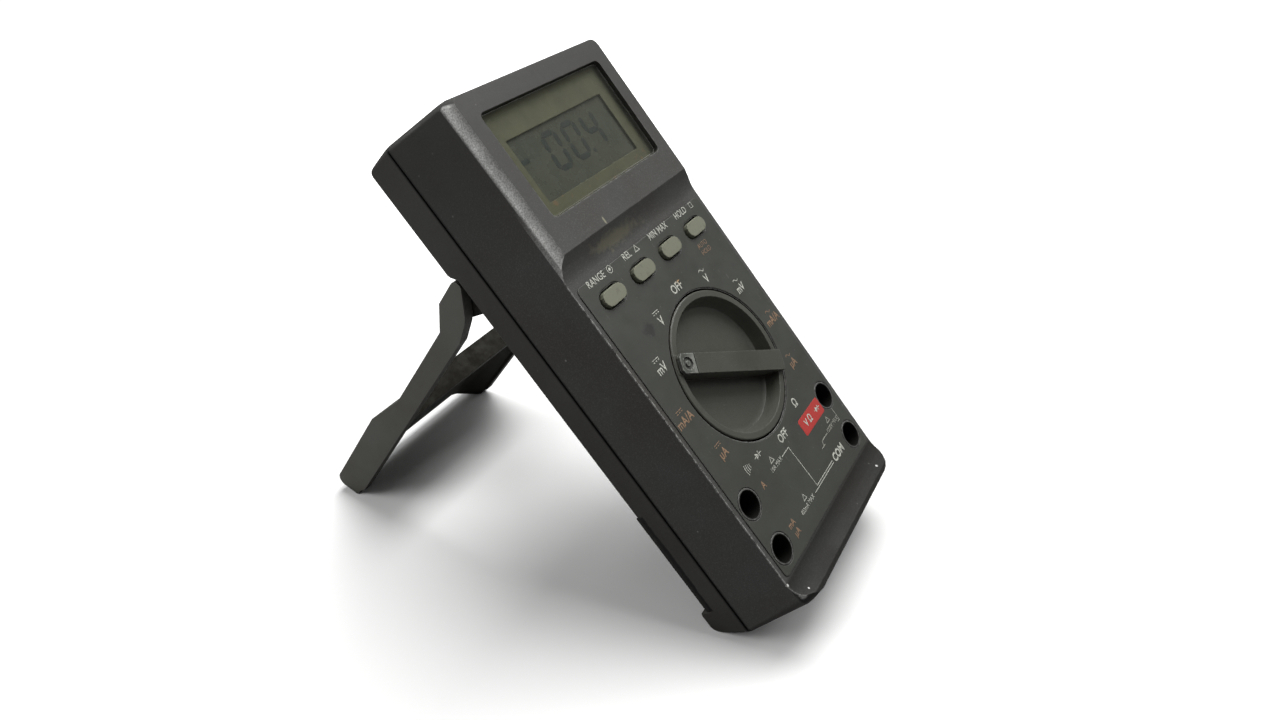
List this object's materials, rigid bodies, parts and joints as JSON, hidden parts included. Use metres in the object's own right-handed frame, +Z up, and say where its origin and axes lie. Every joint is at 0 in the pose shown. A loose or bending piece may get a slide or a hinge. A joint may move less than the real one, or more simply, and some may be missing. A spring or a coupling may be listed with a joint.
{
  "type": "bench multimeter",
  "caption": "Handheld multimeter leaning on its open tilt bail: display window, push buttons, big turning range knob, input jacks, battery door, fuses and boards.",
  "frame": {"origin": "centre of the standing meter's bounding box at bench level", "axes": "+Z up, -Y the way the face looks, X across the width"},
  "size_m": [0.0952, 0.228, 0.1844],
  "materials": {
    "front_plastic": "fine moulded texture, rubbed light along the edges",
    "rear_plastic": "fine moulded texture",
    "bail_plastic": "fine moulded texture, rubbed at the feet",
    "overlay_film": "satin printed film",
    "knob_plastic": "satin",
    "pointer_cap": "satin",
    "switch_plastic": "plain",
    "button_rubber": "matt, worn",
    "black_rubber": "matt",
    "window": "clear, lightly scratched",
    "mask_film": "printed, stained along the bottom",
    "lcd": "reflective liquid crystal cell",
    "reflector": "foil",
    "board": "green solder mask",
    "brass": "plated spring metal",
    "screw_steel": "zinc plated",
    "pin_steel": "ground",
    "fuse_ceramic": "glazed ceramic tube with metal end caps",
    "battery_jacket": "printed steel jacket"
  },
  "bodies": {
    "meter": {"front_case": "front_plastic", "rear_case": "rear_plastic", "case_seal": "black_rubber", "window_lens": "window", "display_mask": "mask_film", "lcd_panel": "lcd", "lcd_reflector": "reflector", "zebra_strip_low": "black_rubber", "zebra_strip_high": "black_rubber", "face_overlay": "overlay_film", "knob_seal": "black_rubber", "detent_spring": "pin_steel", "keypad_mat": "black_rubber", "jack_amps": "brass", "jack_milliamps": "brass", "jack_volts": "brass", "jack_common": "brass", "main_board": "board", "display_board": "board", "board_link": "black_rubber", "board_shield": "reflector", "beeper": "brass", "battery": "battery_jacket", "battery_snap": "black_rubber", "fuse_amps": "fuse_ceramic", "fuse_clip_amps_low": "brass", "fuse_clip_amps_high": "brass", "fuse_milliamps": "fuse_ceramic", "fuse_clip_milliamps_low": "brass", "fuse_clip_milliamps_high": "brass", "battery_door": "rear_plastic", "door_seal": "black_rubber", "door_screw_1": "screw_steel", "door_screw_2": "screw_steel", "case_screw_1": "screw_steel", "case_screw_2": "screw_steel", "case_screw_3": "screw_steel", "case_screw_4": "screw_steel", "skid_pad_left": "black_rubber", "hinge_pin_left": "pin_steel", "skid_pad_right": "black_rubber", "hinge_pin_right": "pin_steel"},
    "knob": {"range_knob": "knob_plastic", "knob_pointer_cap": "pointer_cap", "switch_rotor": "switch_plastic", "rotor_contacts": "brass"},
    "button_1": {"button_1": "button_rubber"},
    "button_2": {"button_2": "button_rubber"},
    "button_3": {"button_3": "button_rubber"},
    "button_4": {"button_4": "button_rubber"},
    "bail": {"tilt_bail": "bail_plastic"}
  },
  "joints": [
    {"name": "knob_turn", "type": "hinge", "parent": "meter", "child": "knob", "pos_m": [0, -0.06586, 0.08327], "axis": [0, -0.8055, 0.5926], "continuous": true},
    {"name": "button_1_press", "type": "slide", "parent": "meter", "child": "button_1", "axis": [0, 0.8055, -0.5926], "range_m": [0, 0.0012]},
    {"name": "button_2_press", "type": "slide", "parent": "meter", "child": "button_2", "axis": [0, 0.8055, -0.5926], "range_m": [0, 0.0012]},
    {"name": "button_3_press", "type": "slide", "parent": "meter", "child": "button_3", "axis": [0, 0.8055, -0.5926], "range_m": [0, 0.0012]},
    {"name": "button_4_press", "type": "slide", "parent": "meter", "child": "button_4", "axis": [0, 0.8055, -0.5926], "range_m": [0, 0.0012]},
    {"name": "bail_fold", "type": "hinge", "parent": "meter", "child": "bail", "pos_m": [0, 0.0146, 0.11247], "axis": [-1, 0, 0], "range_deg": [0, 77.2]}
  ]
}
